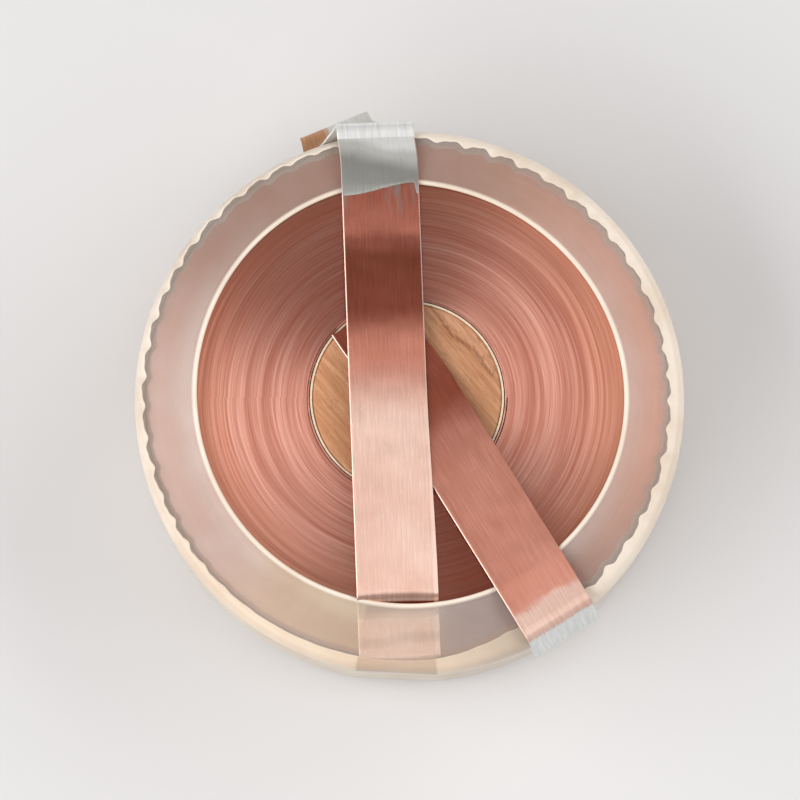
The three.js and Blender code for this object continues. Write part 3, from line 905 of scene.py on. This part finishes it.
riseEdge = fold - 0.9
footEnd = boxOf("outer_lead_riser")[0].y + 0.2
standFrom = boxOf("outer_lead_riser")[0].z
outerLine = smoothLine([(footEnd, standFrom), (footEnd, footHeight - 2.0)], 1.5)[:-1]
outerLine += arc(footEnd + 1.9, footHeight - 1.9, 1.9, 180, 90, 12)
outerLine += smoothLine([(-50.3, footHeight), (riseEdge - 3.3, footHeight)], 1.0)
outerLine += smoothLine([(riseEdge - 2.6, footHeight + 0.2), (riseEdge - 0.5, bridgeHeight - 0.95)], 0.25)
outerLine += arc(riseEdge + 0.45, bridgeHeight - 0.45, 0.45, 180, 95, 6)
outerLine += smoothLine([(riseEdge + 1.1, bridgeHeight), (beadPlace, bridgeHeight),
                         (outerRim - tailLap, rimHeight + 0.07)], 0.7)
outerStrap = buildStrap("outerLead", outerAxes, outerLine, outer["width"], outerCopper, outerExtra, bendOuter,
                        lambda along, height, length: along - (footHeight - height if along < -50 else 0))
bendBetween(outerStrap, outerAxes, "root", "outer_lead", fold, "fold", "copper",
            "outer_lead_strap", "outer_lead_foot", "outer_lead_riser")

outerTailLine = tailLine(outerRim, outer["bendRadius"], [(1.6, 4.5), (0.7, 7.0), (1.2, 9.0), (3.6, 12.6)], 0.2)
outerTail = buildStrap("outerLeadTail", outerAxes, outerTailLine, outer["width"], outerTailMetal,
                       lambda along: ply["extra"], bendOuterTail,
                       lambda along, height, length: outerRim - tailLap + length)
bendBetween(outerTail, outerAxes, "outer_lead", "outer_tail", outerRim, "rim", "tinned_copper",
            "outer_lead_tail")


# Solder wiped on the outer lead: a skin on the upper ply whose front runs out into brushed streaks
coat = {"columns": 90, "rows": 26, "thickness": 0.05, "end": 51.0, "front": 39.75, "left": -7.42, "width": 14.88}


def coatFront(across):
    front = coat["front"] + 2.1 * smoothStep(0.05, 0.95, across / outer["width"] + 0.5)
    front -= 2.2 * smoothStep(6.7, 7.2, across)  # a run of solder down the free edge
    front += 0.12 * noise.noise(Vector((across * 1.1, 1.0, 0.0)))
    return front + 0.05 * noise.noise(Vector((across * 5, 4, 0)))


def lineHeight(line, along):
    for (startAlong, startHeight), (endAlong, endHeight) in zip(line, line[1:]):
        if startAlong <= along <= endAlong and endAlong - startAlong > 0.01:
            return startHeight + (endHeight - startHeight) * (along - startAlong) / (endAlong - startAlong)
    return line[-1][1]


def buildCoat():
    flatPart = [p for p in outerLine if p[0] > 20]
    points, uvs, faces = [], [], []
    top = (ply["thickness"] + ply["gap"]) / 2 + ply["thickness"] / 2
    rowSize = coat["columns"] + 1
    for layer in (0, 1):
        for row in range(coat["rows"] + 1):
            for column in range(rowSize):
                across = coat["left"] + coat["width"] * column / coat["columns"]
                front = coatFront(across)
                along = front + (coat["end"] - front) * (row / coat["rows"]) ** 1.3
                edge = min(smoothStep(0.0, 0.5, along - front), 1 - smoothStep(0.2, 1.2, along - coat["end"] + 1.2))
                skin = 0.012 + (coat["thickness"] * (0.25 + 0.75 * edge) if layer == 0 else -0.006)
                if layer == 0:
                    skin += 0.02 * noise.noise(Vector((across * 1.6, along * 0.25, 4.0))) * edge
                bulge = (ply["foldRadius"] - ply["thickness"] / 2 - 0.08) * math.exp(-((across + 7.3) / 0.5) ** 2)
                a, v, z = bendOuter(across, along, lineHeight(flatPart, along) + top + bulge + skin)
                points.append(placeOn(outerAxes, a, v, z))
                uvs.append((across, along))
    shift = rowSize * (coat["rows"] + 1)
    for row in range(coat["rows"]):
        for column in range(coat["columns"]):
            here = row * rowSize + column
            quad = (here, here + 1, here + rowSize + 1, here + rowSize)
            faces.append(quad)
            faces.append(tuple(shift + i for i in reversed(quad)))
    rim = [column for column in range(rowSize)] \
        + [row * rowSize + coat["columns"] for row in range(1, coat["rows"] + 1)] \
        + [coat["rows"] * rowSize + column for column in range(coat["columns"] - 1, -1, -1)] \
        + [row * rowSize for row in range(coat["rows"] - 1, 0, -1)]
    for here, after in zip(rim, rim[1:] + rim[:1]):
        faces.append((here, shift + here, shift + after, after))
    return addMesh("solderCoat", points, faces, wipedTin, uvs)


rideAs(buildCoat(), "outer_lead", "solder", "outer_lead_solder")


def rampHeight(along):
    share = (along - inner["start"]) / (beadPlace - inner["start"])
    return footHeight + 0.15 + (bridgeHeight - footHeight - 0.15) * share


innerLine = smoothLine([(inner["start"], rampHeight(inner["start"])), (beadPlace, bridgeHeight),
                        (47.2, bridgeHeight - 0.05), (innerRim - tailLap, rimHeight + 0.07)], 0.7)
innerStrap = buildStrap("innerLead", innerAxes, innerLine, inner["width"], innerCopper, lambda along: ply["extra"],
                        bendInner, lambda along, height, length: along, mirrored=True)
bendBetween(innerStrap, innerAxes, "root", "inner_lead", innerAxes["hinge"], "crossing", "copper",
            "inner_lead_strap", "inner_lead_root")

innerTailLine = tailLine(innerRim, inner["bendRadius"], [(2.6, 4.0), (4.1, 8.6)], -0.15)
innerTail = buildStrap("innerLeadTail", innerAxes, innerTailLine, inner["width"], innerTailMetal,
                       lambda along: ply["extra"], bendInner,
                       lambda along, height, length: innerRim - tailLap + length, mirrored=True)
bendBetween(innerTail, innerAxes, "inner_lead", "inner_tail", innerRim, "rim", "tinned_copper",
            "inner_lead_tail")
print("leads made")


# Standing copper inside the roll keeps its CAD shape

standing = frame["nodes"]["inner_lead_riser"]
standing.data.materials.clear()
standing.data.materials.append(windingCopper)


# Floor, light and camera

studio = {"floorSize": 3.0, "floorDark": "#dadadb", "floorLight": "#e1e1e2", "worldStrength": 0.4,
          "worldColour": "#eceaea"}
# name, place, target, width and height in metres, power in watts, colour
softboxes = [("leftSoftbox", (-1.0, -0.38, 0.85), (0, 0, 0.02), (2.0, 0.8), 17.0, "#fffcfa"),
             ("rightSoftbox", (1.05, 0.35, 0.75), (0, 0, 0.02), (2.0, 0.6), 11.5, "#fffcfa"),
             ("overheadStrip", (0.0, 0.0, 1.6), (0, 0, 0), (2.6, 0.3), 4.0, "#ffffff")]


def makeFloor():
    size = studio["floorSize"] / 2
    material, tree, shader = startMaterial("Paper sweep, matt", Roughness=0.9, IOR=1.45)
    tooth = addNode(tree, "TexNoise", {"Vector": addNode(tree, "TexCoord", output="Object"), "Scale": 3.0,
                                       "Detail": 2.0}, "Fac")
    linkShader(shader, {"Base Color": addNode(tree, "ValToRGB", [tooth], stops=[
        (0.3, studio["floorDark"]), (0.7, studio["floorLight"])])})
    floor = addMesh("floor", [(-size, -size, 0), (size, -size, 0), (size, size, 0), (-size, size, 0)],
                    [(0, 1, 2, 3)], material)
    floor.location.z = cadBox[0][2] - 0.00005


def addSoftbox(name, place, target, size, power, colour):
    data = bpy.data.lights.new(name, "AREA")
    data.shape = "RECTANGLE"
    data.size, data.size_y = size
    data.energy = power
    data.color = toLinear(colour)[:3]
    light = bpy.data.objects.new(name, data)
    light.location = place
    light.rotation_euler = (Vector(target) - Vector(place)).to_track_quat("-Z", "Y").to_euler()
    bpy.context.scene.collection.objects.link(light)


makeFloor()
for lamp in softboxes:
    addSoftbox(*lamp)

world = bpy.data.worlds.new("studio")
world.use_nodes = True
background = world.node_tree.nodes["Background"]
background.inputs["Color"].default_value = toLinear(studio["worldColour"])
background.inputs["Strength"].default_value = studio["worldStrength"]
bpy.context.scene.world = world
bpy.context.scene.view_settings.view_transform = "Standard"

view = {"distance": 1.2, "elevation": 84.2, "widthAtFace": 0.156, "centre": (-0.00136, -0.0005)}
cameraData = bpy.data.cameras.new("camera")
cameraData.lens = cameraData.sensor_width * view["distance"] / view["widthAtFace"]
camera = bpy.data.objects.new("camera", cameraData)
tilt = math.radians(view["elevation"])
aim = Vector((view["centre"][0], view["centre"][1], faceHeight * mm))
camera.location = aim + Vector((0, -math.cos(tilt), math.sin(tilt))) * view["distance"]
camera.rotation_euler = (math.pi / 2 - tilt, 0, 0)
bpy.context.scene.collection.objects.link(camera)
bpy.context.scene.camera = camera

print("light and camera placed")
